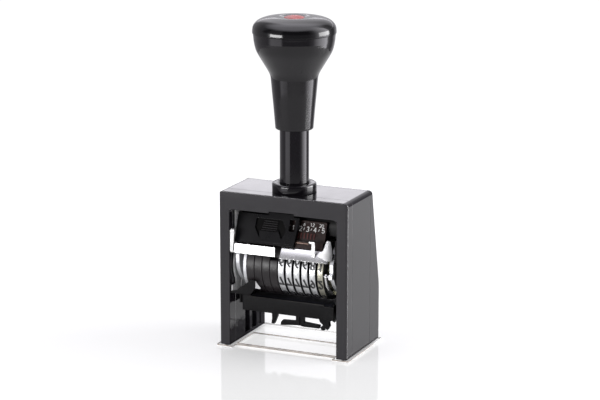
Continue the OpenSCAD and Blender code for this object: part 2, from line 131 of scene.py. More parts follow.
def clear_sheet():
    m = bpy.data.materials.new("clear_plastic")
    m.use_nodes = True
    t = m.node_tree
    p = t.nodes["Principled BSDF"]
    p.inputs["IOR"].default_value = 1.49
    tc = t.nodes.new("ShaderNodeTexCoord")
    g = t.nodes.new("ShaderNodeNewGeometry")
    s = t.nodes.new("ShaderNodeSeparateXYZ")
    link(t, g, "True Normal", s, "Vector")
    ab = t.nodes.new("ShaderNodeMath")
    ab.operation = "ABSOLUTE"
    link(t, s, "Z", ab, 0)
    r = t.nodes.new("ShaderNodeMapRange")
    r.inputs["From Min"].default_value = 0.35
    r.inputs["From Max"].default_value = 0.8
    link(t, ab, "Value", r, "Value")
    n = t.nodes.new("ShaderNodeTexNoise")
    n.inputs["Scale"].default_value = 240.0
    n.inputs["Detail"].default_value = 4.0
    link(t, tc, "Object", n, "Vector")
    edge = t.nodes.new("ShaderNodeValToRGB")
    edge.color_ramp.elements[0].position = 0.35
    edge.color_ramp.elements[1].position = 0.65
    edge.color_ramp.elements[0].color = (0.12, 0.085, 0.065, 1)
    edge.color_ramp.elements[1].color = (0.42, 0.35, 0.3, 1)
    link(t, n, "Fac", edge, "Fac")
    # painted light: the cut edges are mixed to pale grey behind Y 12 to 20 mm, where the housing shades the sheet, and
    # on their lowest 0.5 mm
    so = t.nodes.new("ShaderNodeSeparateXYZ")
    link(t, tc, "Object", so, "Vector")
    far = t.nodes.new("ShaderNodeMapRange")
    far.inputs["From Min"].default_value = 0.012
    far.inputs["From Max"].default_value = 0.02
    link(t, so, "Y", far, "Value")
    low = t.nodes.new("ShaderNodeMapRange")
    low.inputs["From Min"].default_value = 0.0006
    low.inputs["From Max"].default_value = 0.0004
    link(t, so, "Z", low, "Value")
    both = t.nodes.new("ShaderNodeMath")
    both.operation = "MAXIMUM"
    link(t, far, "Result", both, 0)
    link(t, low, "Result", both, 1)
    painted_pale = t.nodes.new("ShaderNodeMix")
    painted_pale.data_type = "RGBA"
    painted_pale.inputs["B"].default_value = (0.84, 0.83, 0.82, 1)
    link(t, both, "Value", painted_pale, "Factor")
    t.links.new(edge.outputs["Color"], painted_pale.inputs["A"])
    mx = t.nodes.new("ShaderNodeMix")
    mx.data_type = "RGBA"
    mx.inputs["B"].default_value = (0.93, 0.94, 0.95, 1)
    link(t, r, "Result", mx, "Factor")
    t.links.new(painted_pale.outputs["Result"], mx.inputs["A"])
    t.links.new(mx.outputs["Result"], p.inputs["Base Color"])
    al = t.nodes.new("ShaderNodeMapRange")
    al.inputs["To Min"].default_value = 0.85
    al.inputs["To Max"].default_value = 0.07
    link(t, r, "Result", al, "Value")
    link(t, al, "Result", p, "Alpha")
    ro = t.nodes.new("ShaderNodeMapRange")
    ro.inputs["To Min"].default_value = 0.03
    ro.inputs["To Max"].default_value = 0.09
    link(t, n, "Fac", ro, "Value")
    link(t, ro, "Result", p, "Roughness")
    return m


def felt():
    m = surface("ink_felt", (0.006, 0.0065, 0.016), 0.62, grain=2600.0, vary=0.5, bump=0.00012, bump_scale=3400.0, strength=0.8,
                fleck=((0.018, 0.02, 0.04), 1500.0, 0.6), spec=0.2)
    t = m.node_tree
    p = t.nodes["Principled BSDF"]
    p.inputs["Sheen Weight"].default_value = 0.06
    p.inputs["Sheen Roughness"].default_value = 0.5
    return m


GLOSS = surface("black_gloss", (0.0118, 0.0108, 0.0138), 0.07, grain=500.0, vary=0.12, bump=0.000004, bump_scale=900.0,
                strength=0.2, wave=0.00001, edge=0.2)
FRAMEM = surface("frame_gloss", (0.0122, 0.0108, 0.0136), 0.08, grain=520.0, vary=0.12, bump=0.000004, bump_scale=880.0,
                 strength=0.2, wave=0.00001, edge=0.55)
KNOBM = surface("knob_gloss", (0.0044, 0.0036, 0.005), 0.1, grain=420.0, vary=0.12, bump=0.000004, bump_scale=800.0,
                strength=0.2, wave=0.000012, spec=0.36, edge=0.0)
CAPM = surface("cap_gloss", (0.0044, 0.0041, 0.0049), 0.11, grain=420.0, vary=0.12, bump=0.000004, bump_scale=800.0,
               strength=0.2, wave=0.000012, spec=0.3, edge=0.0)
SATIN = surface("black_satin", (0.0042, 0.004, 0.0048), 0.28, grain=1100.0, vary=0.2, bump=0.00002, bump_scale=2200.0, strength=0.3,
                spec=0.16, edge=0.25)
SOOT = surface("dull_black", (0.0026, 0.0024, 0.0029), 0.36, grain=1100.0, vary=0.25, bump=0.00002, bump_scale=2200.0, strength=0.3,
               spec=0.07, edge=0.25)
# painted highlight: the grip ribs are the slider's black plastic made lighter and more specular, so they read as light
# lines
RIBM = surface("grip_ribs", (0.0105, 0.0095, 0.0105), 0.3, grain=1100.0, vary=0.2, bump=0.00001, bump_scale=2200.0, strength=0.3, spec=0.4, edge=0.0)
GREYM = surface("clip_grey", (0.3, 0.3, 0.305), 0.5, metal=0.5, grain=500.0, vary=0.12, bump=0.000012, bump_scale=700.0, edge=0.0)
# near-black and barely reflecting: painted shade for the slider's finger pits
PIT_SHADE = surface("recess_painted_shade", (0.0012, 0.001, 0.001), 0.6, grain=1500.0, vary=0.3, bump=0.00002, spec=0.08, edge=0.0)
RED = surface("red_inlay", (0.62, 0.09, 0.085), 0.34, grain=700.0, vary=0.12, bump=0.00001, bump_scale=1200.0, strength=0.2, edge=0.0)
STEEL = surface("steel", (0.46, 0.465, 0.475), 0.3, metal=1.0, grain=500.0, vary=0.12, bump=0.000012, bump_scale=700.0, strength=0.3,
                stretch=(0.15, 1.6, 1.6), edge=0.0)
# grey steel, with its base colour raised to 0.5 as painted light on the left side plate, which no lamp reaches
LIT_PLATE = surface("side_plate_satin_painted_light", (0.5, 0.5, 0.5), 0.5, metal=0.15, grain=600.0, vary=0.2, bump=0.000012, bump_scale=900.0, edge=0.1)
CHROME = surface("chrome", (0.56, 0.56, 0.555), 0.24, metal=1.0, grain=260.0, vary=0.06, bump=0.000006, bump_scale=600.0,
                 strength=0.25, stretch=(0.2, 1.4, 1.4), smudge=160.0, smudge_amount=0.35, edge=0.12)
RINGS = surface("blank_rings", (0.0145, 0.0125, 0.0135), 0.36, metal=0.0, grain=800.0, vary=0.25, bump=0.00001, bump_scale=900.0,
                strength=0.3, stretch=(2.2, 0.3, 0.3), spec=0.25, edge=0.25)
CHEEK = surface("cheek_satin", (0.5, 0.505, 0.52), 0.45, metal=0.7, grain=500.0, vary=0.1, bump=0.000008, bump_scale=700.0, edge=0.3)
WHEEL = surface("wheel_metal", (0.51, 0.515, 0.525), 0.42, metal=0.75, grain=500.0, vary=0.12, bump=0.000012, bump_scale=900.0,
                strength=0.35, stretch=(2.0, 0.25, 0.25), fleck=((0.3, 0.3, 0.31), 900.0, 0.62), edge=0.0)
WHEEL6 = surface("wheel_olive", (0.27, 0.262, 0.215), 0.42, metal=0.75, grain=500.0, vary=0.12, bump=0.000012, bump_scale=900.0,
                 strength=0.35, stretch=(2.0, 0.25, 0.25), fleck=((0.13, 0.125, 0.1), 900.0, 0.6), edge=0.0)
# ink on the raised strokes' faces; painted shade on the stroke sides and on the wheel sides between the wheels
INK_AND_SHADE = surface("ink_and_shade_sides", (0.018, 0.018, 0.02), 0.42, metal=0.2, grain=1800.0, vary=0.5, bump=0.00001,
                fleck=((0.07, 0.07, 0.07), 2200.0, 0.66), edge=0.0)
OLIVE = surface("olive_steel", (0.13, 0.125, 0.085), 0.36, metal=0.85, grain=700.0, vary=0.2, fleck=((0.05, 0.045, 0.03), 600.0, 0.6))
BROWN = surface("scale_brown", (0.018, 0.009, 0.0075), 0.33, grain=900.0, vary=0.25, fleck=((0.035, 0.018, 0.015), 700.0, 0.62), spec=0.3)
BRASS = surface("roller_brass", (0.16, 0.105, 0.085), 0.38, metal=0.6, grain=700.0, vary=0.2, stretch=(0.2, 1.5, 1.5), edge=0.0)
COMB = surface("comb_red", (0.06, 0.012, 0.01), 0.4, grain=900.0, vary=0.25, fleck=((0.02, 0.006, 0.005), 700.0, 0.62), spec=0.3)
WHITE = surface("scale_white", (0.8, 0.8, 0.79), 0.5, grain=2600.0, vary=0.1, edge=0.0)
GREYINK = surface("plate_mark", (0.16, 0.14, 0.13), 0.5, grain=2600.0, vary=0.3, edge=0.0)


def paint_shade_ramp(m, lo, hi, dark, axis="X"):
    """Paints shade: darkens a surface's base colour along one axis of the row frame, from lo to hi in mm."""
    t = m.node_tree
    p = t.nodes["Principled BSDF"]
    src = p.inputs["Base Color"].links[0].from_socket
    tc = t.nodes.new("ShaderNodeTexCoord")
    sp = t.nodes.new("ShaderNodeSeparateXYZ")
    link(t, tc, "Object", sp, "Vector")
    r = t.nodes.new("ShaderNodeMapRange")
    r.interpolation_type = "SMOOTHSTEP"
    r.inputs["From Min"].default_value = lo * MM
    r.inputs["From Max"].default_value = hi * MM
    link(t, sp, axis, r, "Value")
    mx = t.nodes.new("ShaderNodeMix")
    mx.data_type = "RGBA"
    mx.inputs["B"].default_value = tuple(dark) + (1,)
    link(t, r, "Result", mx, "Factor")
    t.links.new(src, mx.inputs["A"])
    t.links.new(mx.outputs["Result"], p.inputs["Base Color"])
    return m


SHIELD = surface("shield_chrome", (0.62, 0.62, 0.625), 0.24, metal=0.9, grain=260.0, vary=0.04, bump=0.000004, bump_scale=600.0,
                 strength=0.2, stretch=(0.2, 1.4, 1.4), smudge=160.0, smudge_amount=0.25, edge=0.15)
# painted shade: the shield's base colour darkens to grey towards its right end, from X 19.5 to 25 mm
paint_shade_ramp(SHIELD, 19.5, 25.0, (0.07, 0.07, 0.073))


def inner_wall(m):
    """Painted shade: the inner faces of the window get less specular reflection than the outside, and almost none near
    the base, so they read dark there.
    """
    t = m.node_tree
    p = t.nodes["Principled BSDF"]
    tc = t.nodes.new("ShaderNodeTexCoord")
    sp = t.nodes.new("ShaderNodeSeparateXYZ")
    link(t, tc, "Object", sp, "Vector")
    ab = t.nodes.new("ShaderNodeMath")
    ab.operation = "ABSOLUTE"
    link(t, sp, "X", ab, 0)
    ins = t.nodes.new("ShaderNodeMath")
    ins.operation = "LESS_THAN"
    ins.inputs[1].default_value = 0.0282
    link(t, ab, "Value", ins, 0)
    und = t.nodes.new("ShaderNodeMath")
    und.operation = "LESS_THAN"
    und.inputs[1].default_value = 0.0685
    link(t, sp, "Z", und, 0)
    both = t.nodes.new("ShaderNodeMath")
    both.operation = "MULTIPLY"
    link(t, ins, "Value", both, 0)
    link(t, und, "Value", both, 1)
    nz = t.nodes.new("ShaderNodeTexNoise")
    nz.inputs["Scale"].default_value = 420.0
    link(t, tc, "Object", nz, "Vector")
    wob = t.nodes.new("ShaderNodeMath")
    wob.operation = "MULTIPLY_ADD"
    wob.inputs[1].default_value = 0.006
    link(t, nz, "Fac", wob, 0)
    link(t, sp, "Z", wob, 2)
    r = t.nodes.new("ShaderNodeMapRange")
    r.interpolation_type = "SMOOTHSTEP"
    r.inputs["From Min"].default_value = 0.0115
    r.inputs["From Max"].default_value = 0.0165
    r.inputs["To Min"].default_value = 0.02
    r.inputs["To Max"].default_value = 0.3
    link(t, wob, "Value", r, "Value")
    mx = t.nodes.new("ShaderNodeMix")
    mx.inputs["A"].default_value = 0.5
    link(t, both, "Value", mx, "Factor")
    link(t, r, "Result", mx, "B")
    link(t, mx, "Result", p, "Specular IOR Level")
    return m


inner_wall(GLOSS)
inner_wall(FRAMEM)
ARMM = surface("arm_grey", (0.42, 0.42, 0.42), 0.5, metal=0.15, grain=600.0, vary=0.2, bump=0.000012, bump_scale=900.0, edge=0.1)
# painted shade: the arm's base colour turns near-black from Z 29.5 mm down to 27.5 mm and below
paint_shade_ramp(ARMM, 29.5, 27.5, (0.004, 0.004, 0.004), "Z")
CLEAR = clear_sheet()
FELT = felt()

CAD_MATS = {
    "base_plate": CLEAR, "base_screws": STEEL, "front_frame": FRAMEM, "housing_shell": GLOSS, "rear_cover": GLOSS,
    "spring_hooks": STEEL, "shaft_pin": STEEL,
    "carriage_bridge": SOOT, "side_plate_left": LIT_PLATE, "side_plate_right": SOOT, "end_cheek_left": CHEEK,
    "end_cheek_right": CHEEK, "flange_ring": CHEEK, "blank_ring_1": RINGS, "blank_ring_2": RINGS, "blank_ring_3": RINGS,
    "blank_ring_4": RINGS, "wheel_axle": STEEL, "front_bar": CHROME, "wheel_shield": SHIELD, "bar_link": CHROME,
    "corner_bracket": SOOT, "bracket_clip": GREYM, "scale_plate": BROWN, "index_comb": COMB, "index_roller": BRASS,
    "hook_tab": CHROME, "return_spring_left": STEEL, "return_spring_right": STEEL, "pawl_pin": STEEL,
    "ratchet_wheel": OLIVE, "drive_pawl": CHROME, "selector_slider": SATIN, "pad_holder": SOOT, "pad_arm_left": ARMM,
    "pad_arm_right": SOOT, "cam_pin_left": STEEL, "cam_pin_right": STEEL, "pad_pull_tab": SOOT, "pad_latch_left": SOOT,
    "pad_latch_right": SOOT,
}
BEVEL = {
    "pad_holder": 0.25, "carriage_bridge": 0.25, "blank_ring_1": 0.2, "blank_ring_2": 0.2, "blank_ring_3": 0.2, "blank_ring_4": 0.2,
    "flange_ring": 0.2, "corner_bracket": 0.15, "pad_pull_tab": 0.2, "pad_latch_left": 0.2, "pad_latch_right": 0.15,
    "bar_link": 0.1, "front_bar": 0.06, "hook_tab": 0.08, "drive_pawl": 0.12,
}


def dress(name, mat, width):
    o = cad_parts[name]
    if not o.data.materials:
        o.data.materials.append(mat)
    for i in range(len(o.material_slots)):
        o.material_slots[i].link = "OBJECT"
        o.material_slots[i].material = mat
    if width:
        w = o.modifiers.new("weld", "WELD")
        w.merge_threshold = 0.000002
        b = o.modifiers.new("bevel", "BEVEL")
        b.width = width * MM
        b.segments = 2
        b.limit_method = "ANGLE"
        b.angle_limit = math.radians(38)
        b.use_clamp_overlap = True
        n = o.modifiers.new("normals", "WEIGHTED_NORMAL")
        n.weight = 60
        n.keep_sharp = False


for name, mat in CAD_MATS.items():
    dress(name, mat, BEVEL.get(name, 0))

# -------------------------------------------------------------- mesh helpers


def make(name, verts, faces, mats, body, replaces=(), index=None, angle=35, merge=True):
    me = bpy.data.meshes.new(name)
    me.from_pydata([(x * MM, y * MM, z * MM) for x, y, z in verts], [], faces)
    for m in mats:
        me.materials.append(m)
    if index:
        for p, i in zip(me.polygons, index):
            p.material_index = i
    bm = bmesh.new()
    bm.from_mesh(me)
    if merge:
        bmesh.ops.remove_doubles(bm, verts=bm.verts, dist=1e-7)
    bmesh.ops.dissolve_degenerate(bm, edges=bm.edges, dist=1e-8)
    bmesh.ops.recalc_face_normals(bm, faces=bm.faces)
    bm.to_mesh(me)
    bm.free()
    for p in me.polygons:
        p.use_smooth = True
    me.set_sharp_from_angle(angle=math.radians(angle))
    o = bpy.data.objects.new(name, me)
    bpy.context.collection.objects.link(o)
    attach(o, body)
    if replaces:
        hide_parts(*replaces)
    return o


def spline(pts, steps=6):
    """Catmull-Rom curve through the points."""
    out = []
    p = [pts[0]] + list(pts) + [pts[-1]]
    for i in range(1, len(p) - 2):
        for s in range(steps):
            t = s / steps
            out.append(tuple(0.5 * (2 * p[i][k] + (p[i + 1][k] - p[i - 1][k]) * t
                       + (2 * p[i - 1][k] - 5 * p[i][k] + 4 * p[i + 1][k] - p[i + 2][k]) * t * t
                       + (3 * p[i][k] - p[i - 1][k] - 3 * p[i + 1][k] + p[i + 2][k]) * t ** 3) for k in (0, 1)))
    out.append(tuple(pts[-1]))
    return out


def lathe(prof, seg=128, axis="Z", at=(0.0, 0.0), closed=False):
    """Turned form from (radius, height) points: the vertices and faces."""
    n = len(prof)
    v, f = [], []
    for i in range(seg):
        a = 2 * PI * i / seg
        for r, h in prof:
            if axis == "Z":
                v.append((at[0] + r * math.cos(a), at[1] + r * math.sin(a), h))
            else:
                v.append((h, at[0] + r * math.cos(a), at[1] + r * math.sin(a)))
    for i in range(seg):
        k = (i + 1) % seg
        for j in range(n if closed else n - 1):
            j2 = (j + 1) % n
            f.append((i * n + j, k * n + j, k * n + j2, i * n + j2))
    return v, f


def arc(cx, cy, rx, ry, a0, a1, n=14):
    return [(cx + rx * math.cos(math.radians(a0 + (a1 - a0) * i / n)), cy + ry * math.sin(math.radians(a0 + (a1 - a0) * i / n))) for i in range(n + 1)]


GLYPH = {
    "0": [(arc(0.5, 0.85, 0.5, 0.85, 0, 360, 26)[:-1], True)],
    "1": [([(0.2, 1.3), (0.58, 1.7), (0.58, 0.0)], False)],
    "2": [(arc(0.5, 1.22, 0.48, 0.48, 165, -35) + [(0.02, 0.0), (1.0, 0.0)], False)],
    "3": [(arc(0.48, 1.28, 0.44, 0.42, 150, -88), False), (arc(0.47, 0.44, 0.5, 0.45, 88, -150), False)],
    "4": [([(0.72, 0.0), (0.72, 1.7), (0.0, 0.5), (1.02, 0.5)], False)],
    "5": [([(0.92, 1.7), (0.16, 1.7), (0.08, 0.92)] + arc(0.46, 0.53, 0.5, 0.53, 128, -150), False)],
    "6": [(arc(0.5, 0.48, 0.48, 0.48, 0, 360, 20)[:-1], True), ([(0.86, 1.66), (0.5, 1.45), (0.2, 1.08), (0.03, 0.6)], False)],
    "7": [([(0.0, 1.42), (0.0, 1.7), (1.0, 1.7), (0.3, 0.0)], False)],
    "8": [(arc(0.5, 1.28, 0.42, 0.42, 0, 360, 18)[:-1], True), (arc(0.5, 0.44, 0.5, 0.44, 0, 360, 20)[:-1], True)],
    "9": [(arc(0.5, 1.22, 0.48, 0.48, 0, 360, 20)[:-1], True), ([(0.97, 1.1), (0.8, 0.62), (0.5, 0.25), (0.14, 0.04)], False)],
    "/": [([(0.25, 0.35), (0.65, 1.35)], False)],
}


def dense(pts, closed, step=0.22):
    out = []
    n = len(pts)
    for i in range(n if closed else n - 1):
        a, b = pts[i], pts[(i + 1) % n]
        k = max(1, int(math.hypot(b[0] - a[0], b[1] - a[1]) / step))
        out += [(a[0] + (b[0] - a[0]) * j / k, a[1] + (b[1] - a[1]) * j / k) for j in range(k)]
    if not closed:
        out.append(pts[-1])
    return out


def strokes(char, width, place, v, f, idx, top=0, side=1):
    """Adds the raised strokes of one character; place(u, w, up) gives the 3-D point."""
    for pts, closed in GLYPH[char]:
        pts = dense(pts, closed)
        n = len(pts)
        left, right = [], []
        for i in range(n):
            p = pts[i]
            a = pts[i - 1] if (i or closed) else None
            b = pts[(i + 1) % n] if (i < n - 1 or closed) else None
            d1 = (p[0] - a[0], p[1] - a[1]) if a else None
            d2 = (b[0] - p[0], b[1] - p[1]) if b else None
            d1 = d1 or d2
            d2 = d2 or d1
            l1, l2 = math.hypot(*d1), math.hypot(*d2)
            n1, n2 = (-d1[1] / l1, d1[0] / l1), (-d2[1] / l2, d2[0] / l2)
            mx, my = n1[0] + n2[0], n1[1] + n2[1]
            ml = math.hypot(mx, my) or 1.0
            mx, my = mx / ml, my / ml
            k = width / 2 / max(0.5, mx * n1[0] + my * n1[1])
            left.append((p[0] + mx * k, p[1] + my * k))
            right.append((p[0] - mx * k, p[1] - my * k))
        base = len(v)
        for q in range(n):
            v += [place(left[q][0], left[q][1], 0), place(right[q][0], right[q][1], 0), place(right[q][0], right[q][1], 1), place(left[q][0], left[q][1], 1)]
        for q in range(n if closed else n - 1):
            a, b = base + 4 * q, base + 4 * ((q + 1) % n)
            for j, mi in ((0, side), (1, side), (2, top), (3, side)):
                f.append((a + j, a + (j + 1) % 4, b + (j + 1) % 4, b + j))
                idx.append(mi)
        if not closed:
            f.append((base, base + 1, base + 2, base + 3))
            e = base + 4 * (n - 1)
            f.append((e + 3, e + 2, e + 1, e))
            idx += [side, side]


SLOPE = math.radians(20.6)


def slant(x, y, z):
    """Point of the sloping selector's own frame, in the row frame."""
    return (x, -8.5 + y * math.cos(SLOPE) + z * math.sin(SLOPE), 59.4 - y * math.sin(SLOPE) + z * math.cos(SLOPE))


def block(v, f, idx, a, b, place=None, mi=0, chamfer=0.0):
    """Adds a box with its upper and lower edges cut back."""
    c = chamfer
    base = len(v)
    lv = [(a[1], c), (a[1] + c, 0), (b[1] - c, 0), (b[1], c)] if c else [(a[1], 0), (b[1], 0)]
    for y, s in lv:
        for x, z in ((a[0] + s, a[2] + s), (b[0] - s, a[2] + s), (b[0] - s, b[2] - s), (a[0] + s, b[2] - s)):
            p = (x, y, z)
            v.append(place(*p) if place else p)
    n = len(lv)
    for i in range(n - 1):
        for j in range(4):
            f.append((base + 4 * i + j, base + 4 * i + (j + 1) % 4, base + 4 * i + 4 + (j + 1) % 4, base + 4 * i + 4 + j))
            idx.append(mi)
    f.append((base + 3, base + 2, base + 1, base))
    f.append((base + 4 * n - 4, base + 4 * n - 3, base + 4 * n - 2, base + 4 * n - 1))
    idx += [mi, mi]


# ------------------------------------------------------------ knob and shaft
grip = [(9.13, 109.0), (9.53, 113.8), (9.84, 117.5), (10.19, 121.3), (10.56, 125.1), (10.9, 128.9), (11.22, 132.3)]
flare = [(11.22, 132.3), (11.34, 133.2), (11.75, 134.6), (12.66, 136.4), (14.96, 140.2), (17.25, 144.0), (18.2, 146.0), (18.72, 147.75), (18.98, 148.9),
         (19.15, 149.9), (19.29, 150.8), (19.44, 152.4), (19.6, 153.7)]
prof = [(7.05, 109.4), (7.05, 108.25), (7.2, 108.2), (8.5, 108.2), (8.85, 108.28), (9.02, 108.45), (9.1, 108.7)] + spline(grip, 4)[:-1] + \
       spline(flare, 5) + [(19.62, 153.98), (19.58, 154.04), (15.1, 154.04), (15.1, 151.12), (4.6, 151.12), (4.6, 124.1), (7.05, 124.1)]
v, f = lathe(prof, 144, closed=True)
make("knob_grip_turned", v, f, [KNOBM], "carriage", ["knob_grip"], angle=24)

cap = [(0.2, 154.12), (19.82, 154.12), (19.88, 154.16), (19.93, 154.35), (19.935, 154.6), (19.925, 155.0), (19.89, 155.6), (19.83, 156.2), (19.72, 156.8)]
cap += [(19.5, 157.45), (19.15, 158.1), (18.6, 158.8), (17.6, 159.7), (16.0, 160.52), (14.2, 161.08), (11.9, 161.48), (9.6, 161.72), (8.4, 161.76),
        (7.2, 161.69), (6.1, 161.57), (5.2, 161.46), (4.95, 161.42), (4.87, 161.34), (4.85, 161.02), (0.2, 161.02)]
cap = cap[:3] + spline(cap[3:-3], 4) + cap[-3:]
v, f = lathe(cap, 144, closed=False)
make("knob_cap_turned", v, f, [CAPM], "carriage", ["knob_cap"], angle=28)
inl = [(0.0, 161.07), (4.82, 161.07), (4.82, 161.38), (4.74, 161.44), (4.4, 161.56), (3.5, 161.86), (2.4, 162.15), (1.2, 162.34), (0.0, 162.42)]
v, f = lathe(inl, 96)
make("cap_inlay_domed", v, f, [RED], "carriage", ["cap_inlay"], angle=28)

shaft = [(0.0, 68.35), (5.2, 68.35), (5.48, 68.6), (5.48, 71.62), (6.6, 71.62), (7.0, 71.95), (7.0, 123.95), (4.5, 123.95), (4.5, 147.7), (4.2, 148.0), (0.0, 148.0)]
v, f = lathe(shaft, 96)
make("plunger_shaft_turned", v, f, [KNOBM], "carriage", ["plunger_shaft"], angle=28)

col = [(7.08, 72.3), (8.9, 72.3), (8.98, 72.4), (8.98, 77.62), (10.4, 77.62), (10.56, 77.68), (10.66, 77.9), (10.69, 78.2), (10.69, 81.0), (10.64, 81.45),
       (10.48, 81.8), (10.2, 82.0), (9.8, 82.08), (8.2, 82.08), (7.6, 82.0), (7.2, 81.75), (7.08, 81.4)]
v, f = lathe(col, 128, closed=True)
make("guide_collar_turned", v, f, [KNOBM], "housing", ["guide_collar"], angle=28)

# ------------------------------------------------------------- number wheels
TOP_DIGIT = [6, 6, 6, 6, 8, 1]
AY, AZ = 2.0, 40.7
for w in range(6):
    x0 = -3.05 + w * 4.09
    prof = [(2.05, x0 + 0.05), (4.6, x0 + 0.05), (4.8, x0 + 0.3), (5.1, x0 + 0.45), (11.9, x0 + 0.45), (12.3, x0 + 0.3), (12.5, x0 + 0.03),
            (14.45, x0 + 0.03), (14.68, x0 + 0.12), (14.74, x0 + 0.3), (14.74, x0 + 2.85), (14.68, x0 + 3.03), (14.45, x0 + 3.12),
            (12.4, x0 + 3.12), (12.2, x0 + 2.9), (10.2, x0 + 2.8), (9.9, x0 + 3.12), (2.05, x0 + 3.12)]
    v, f = lathe(prof, 120, "X", (AY, AZ), closed=True)
    # only the rim is bright; the wheel sides are dark as painted shade in the gaps between wheels, and the raised
    # strokes carry ink on their faces and painted shade on their sides
    idx = [0 if q % len(prof) in (8, 9, 10) else 1 for q in range(len(f))]
    for k in range(10):
        phi = math.radians(17.5 - 36 * k)
        ch = str((TOP_DIGIT[w] + k) % 10)

        def place(u, t, up, phi=phi, x0=x0):
            q = phi - (t - 0.85) / 1.7 * 4.1 / 15.0
            r = 14.62 if not up else 15.17
            return (x0 + 0.52 + u * 2.1, AY - r * math.cos(q), AZ + r * math.sin(q))

        strokes(ch, 0.27, place, v, f, idx, 1, 1)
    # index ring with ten round teeth
    b = len(v)
    n = 120
    for xx in (x0 + 3.12, x0 + 3.72):
        for i in range(n):
            a = 2 * PI * i / n
            r = 10.1 + 0.75 * max(0.0, math.cos(10 * a)) ** 2
            v.append((xx, AY + r * math.cos(a), AZ + r * math.sin(a)))
        for i in range(n):
            a = 2 * PI * i / n
            v.append((xx, AY + 2.05 * math.cos(a), AZ + 2.05 * math.sin(a)))
    for i in range(n):
        j = (i + 1) % n
        f += [(b + i, b + j, b + 2 * n + j, b + 2 * n + i), (b + n + j, b + n + i, b + 3 * n + i, b + 3 * n + j),
              (b + j, b + i, b + n + i, b + n + j), (b + 2 * n + i, b + 2 * n + j, b + 3 * n + j, b + 3 * n + i)]
        idx += [2] * 4
    make("number_wheel_%d_engraved" % (w + 1), v, f, [WHEEL6 if w == 5 else WHEEL, INK_AND_SHADE, OLIVE], "wheel_%d" % (w + 1),
         ["number_wheel_%d" % (w + 1)], idx, angle=30, merge=False)

# ------------------------------------------------------- selector and scale
PIT_L = [(-16.7, 4.9), (-15.1, 5.1), (-14.5, -1.0), (-14.12, -4.2), (-16.75, 0.3)]
PIT_R = [(-4.95, 5.2), (-3.1, 4.8), (-1.2, 1.55), (-1.1, -0.3), (-2.65, -3.95), (-5.2, 1.0)]
RIBS = [(-15.4, -0.6), (-5.2, -0.6), (-4.9, 5.2), (-15.3, 5.2)]
# painted shade: thin near-black sheets lie in the two finger pits and behind the grip ribs
v, f, idx = [], [], []
for pts, y in ((PIT_L, 0.72), (PIT_R, 0.72), (RIBS, 0.62)):
    b = len(v)
    n = len(pts)
    for yy in (y, y + 0.06):
        v += [slant(x, yy, z) for x, z in pts]
    f += [tuple(range(b, b + n)), tuple(range(b + 2 * n - 1, b + n - 1, -1))]
    f += [(b + k, b + (k + 1) % n, b + n + (k + 1) % n, b + n + k) for k in range(n)]
    idx += [0] * (n + 2)
make("slider_recess_shade", v, f, [PIT_SHADE], "selector", angle=30, merge=False)
v, f, idx = [], [], []
for i in range(5):
    z = -0.35 + i * 1.08
    block(v, f, idx, (-13.6 + 0.25 * i, 0.12, z), (-5.5, 0.6, z + 0.42), slant, 0, 0.12)
make("slider_grip_ribs", v, f, [RIBM], "selector", angle=30)
v, f, idx = [], [], []
block(v, f, idx, (-16.6, -0.03, 5.25), (-4.6, 0.3, 5.6), slant, 0, 0.1)
block(v, f, idx, (-22.8, -0.02, -3.1), (-19.8, 0.1, -2.85), slant, 0, 0.05)
block(v, f, idx, (-26.3, -0.02, -6.2), (3.2, 0.2, -5.95), slant, 0, 0.05)
make("slider_rim", v, f, [SATIN], "selector", angle=30)

v, f, idx = [], [], []


def on_scale(cx, cz, h):
    def place(u, t, up):
        return slant(cx + (u - 0.5) * h / 1.7, 3.13 - 0.09 * up, cz + (t - 0.85) / 1.7 * h)
    return place


for ch, cx in (("1", 1.6), ("2", 5.44), ("3", 9.13), ("4", 12.94), ("5", 17.2)):
    strokes(ch, 0.2, on_scale(cx, 2.6, 2.2), v, f, idx, 0, 0)
for cx in (3.5, 7.25, 11.05, 15.05):
    strokes("/", 0.17, on_scale(cx, 2.6, 1.9), v, f, idx, 0, 0)
for cx, txt in ((7.06, "6"), (11.19, "12"), (15.97, "20")):
    for j, ch in enumerate(txt):
        strokes(ch, 0.2, on_scale(cx + (j - (len(txt) - 1) / 2) * 1.2, 4.75, 1.5), v, f, idx, 0, 0)
make("scale_numerals", v, f, [WHITE], "carriage", index=idx, angle=30, merge=False)

# ------------------------------------------------------------------ ink pad
nx, ny = 92, 36
v, f = [], []
X0, X1, Y0, Y1 = -21.45, 23.85, -9.25, 7.65
for j in range(ny + 1):
    for i in range(nx + 1):
        u, t = i / nx, j / ny
        x, y = X0 + (X1 - X0) * u, Y0 + (Y1 - Y0) * t
        ex = min(x - X0, X1 - x)
        ey = min(y - Y0, Y1 - y)
        drop = 0.0
        for e in (ex, ey):
            if e < 1.3:
                drop += 0.75 * (1 - e / 1.3) ** 2
        crown = 0.14 * (1 - ((u - 0.5) * 2) ** 2) * (1 - ((t - 0.5) * 2) ** 2)
        fuzz = 0.05 * noise.noise(Vector((x * 0.9, y * 0.9, 3.0))) + 0.03 * noise.noise(Vector((x * 3.1, y * 3.1, 9.0)))
        v.append((x, y, min(25.19, 25.0 + crown + fuzz - drop)))
top = len(v)
for j in range(ny + 1):
    for i in range(nx + 1):
        v.append((X0 + (X1 - X0) * i / nx, Y0 + (Y1 - Y0) * j / ny, 20.05))
W = nx + 1
for j in range(ny):
    for i in range(nx):
        a = j * W + i
        f += [(a, a + 1, a + W + 1, a + W), (top + a + W, top + a + W + 1, top + a + 1, top + a)]
for i in range(nx):
    f += [(i + 1, i, top + i, top + i + 1), (ny * W + i, ny * W + i + 1, top + ny * W + i + 1, top + ny * W + i)]
